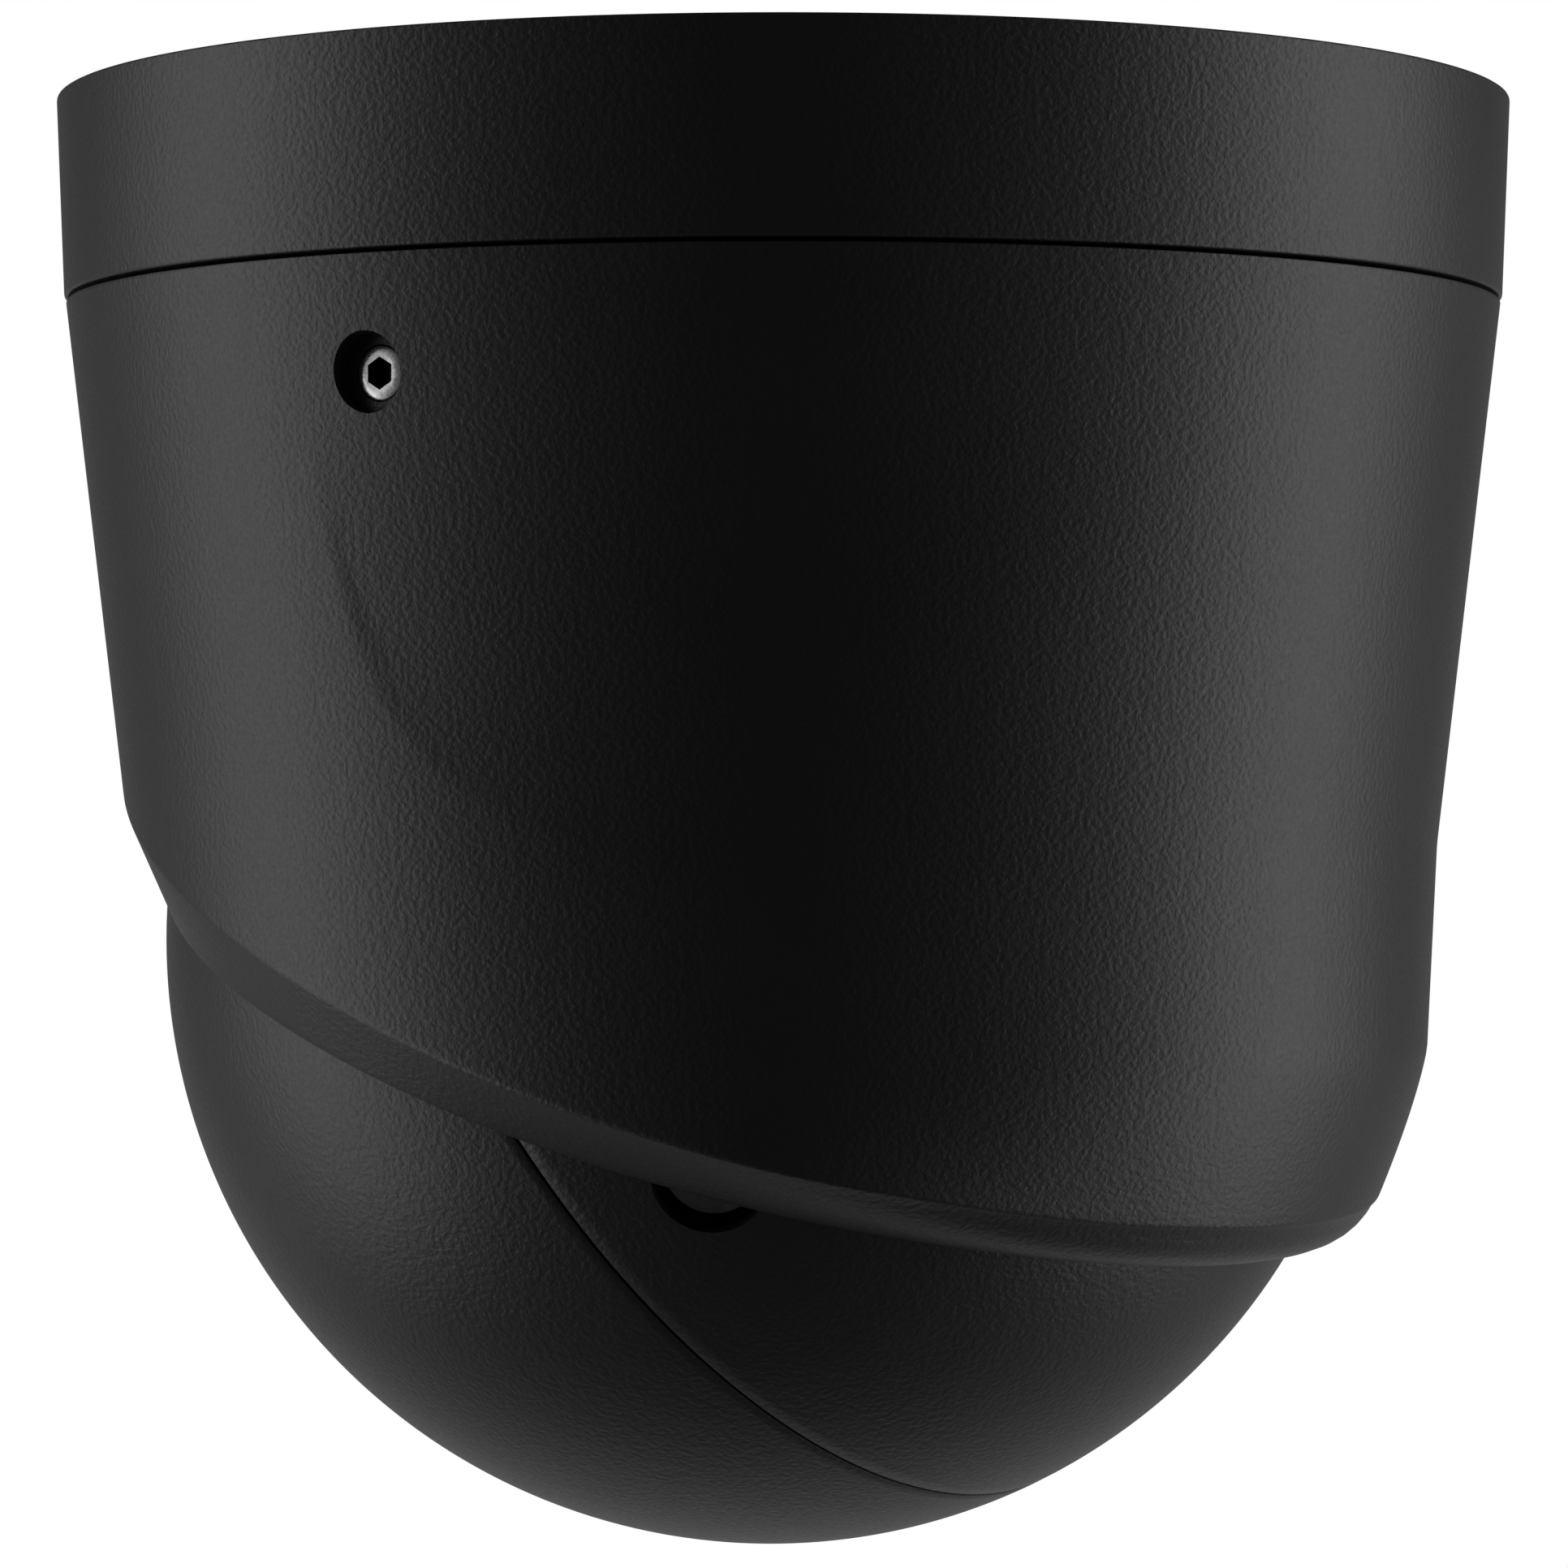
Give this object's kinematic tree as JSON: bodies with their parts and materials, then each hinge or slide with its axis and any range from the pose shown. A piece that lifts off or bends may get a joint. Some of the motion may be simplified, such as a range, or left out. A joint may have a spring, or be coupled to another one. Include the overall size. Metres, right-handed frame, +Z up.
{
  "type": "ceiling turret camera",
  "caption": "Round ceiling base with a tapered, slant-cut trim ring that pans, gripping a ball-shaped security camera that tilts and rolls.",
  "frame": {"origin": "centre of the mounting face that lies against the ceiling", "axes": "+Z up into the ceiling, lens side towards -Y at rest, set screw towards +X"},
  "size_m": [0.11, 0.11, 0.1091],
  "materials": {
    "powder_coat": "fine wrinkled matt powder coat",
    "satin_black": "satin",
    "rubber": "matt",
    "steel": "satin",
    "brass": "turned",
    "white_plastic": "satin",
    "aluminium": "bead blasted",
    "window_glass": "polished, smoked",
    "lens_glass": "polished and coated",
    "circuit_board": "solder mask",
    "chip": "moulded",
    "lamp": "clear dome on a pale package",
    "thermal_pad": "soft"
  },
  "bodies": {
    "base": {"base_housing": "powder_coat", "wall_gasket": "rubber", "cable_grommet": "rubber", "retainer_ring": "steel", "retainer_screws": "steel", "glide_ring": "white_plastic"},
    "trim": {"trim_ring": "powder_coat", "ball_saddle": "white_plastic", "saddle_screws": "steel", "lip_seal": "rubber", "screw_insert": "brass"},
    "screw_tip": {"screw_tip": "white_plastic"},
    "set_screw": {"set_screw": "steel"},
    "swivel": {"gland_insert": "rubber"},
    "ball": {"gland_body": "steel", "gland_seal": "rubber", "gland_nut": "steel", "ball_front_shell": "powder_coat", "ball_rear_shell": "powder_coat", "shell_seal": "rubber", "shell_screws": "steel", "front_bezel": "satin_black", "window_glass": "window_glass", "window_gasket": "rubber", "lens_hood": "rubber", "lens_barrel": "satin_black", "front_lens": "lens_glass", "rear_lens": "lens_glass", "lens_mount": "satin_black", "image_sensor": "chip", "sensor_board": "circuit_board", "sensor_standoffs": "brass", "sensor_screws": "steel", "lamp_board": "circuit_board", "lamps": "lamp", "lamp_posts": "white_plastic", "chassis_plate": "aluminium", "chassis_screws": "steel", "thermal_pad": "thermal_pad", "processor": "chip", "main_board": "circuit_board", "board_standoffs": "brass", "board_screws": "steel", "board_connectors": "white_plastic", "card_slot": "steel"}
  },
  "joints": [
    {"name": "pan", "type": "hinge", "parent": "base", "child": "trim", "pos_m": [0, 0, -0.02], "axis": [0, 0, 1], "range_deg": [-180, 180]},
    {"name": "tilt", "type": "hinge", "parent": "trim", "child": "swivel", "pos_m": [0, -0.0011, -0.0632], "axis": [1, 0, 0], "range_deg": [-12, 62]},
    {"name": "roll", "type": "hinge", "parent": "swivel", "child": "ball", "pos_m": [0, -0.0011, -0.0632], "axis": [0, -0.8838, -0.4679], "range_deg": [-180, 180]},
    {"name": "set_screw_travel", "type": "slide", "parent": "trim", "child": "screw_tip", "axis": [0.9997, -0.0244, 0], "range_m": [0, 0.0014]},
    {"name": "set_screw_turn", "type": "hinge", "parent": "screw_tip", "child": "set_screw", "pos_m": [0.04999, -0.00122, -0.02335], "axis": [0.9997, -0.0244, 0], "range_deg": [0, 721]}
  ],
  "couplings": [
    {"joint": "set_screw_turn", "follows": "set_screw_travel", "rad_per_m": 8976}
  ]
}
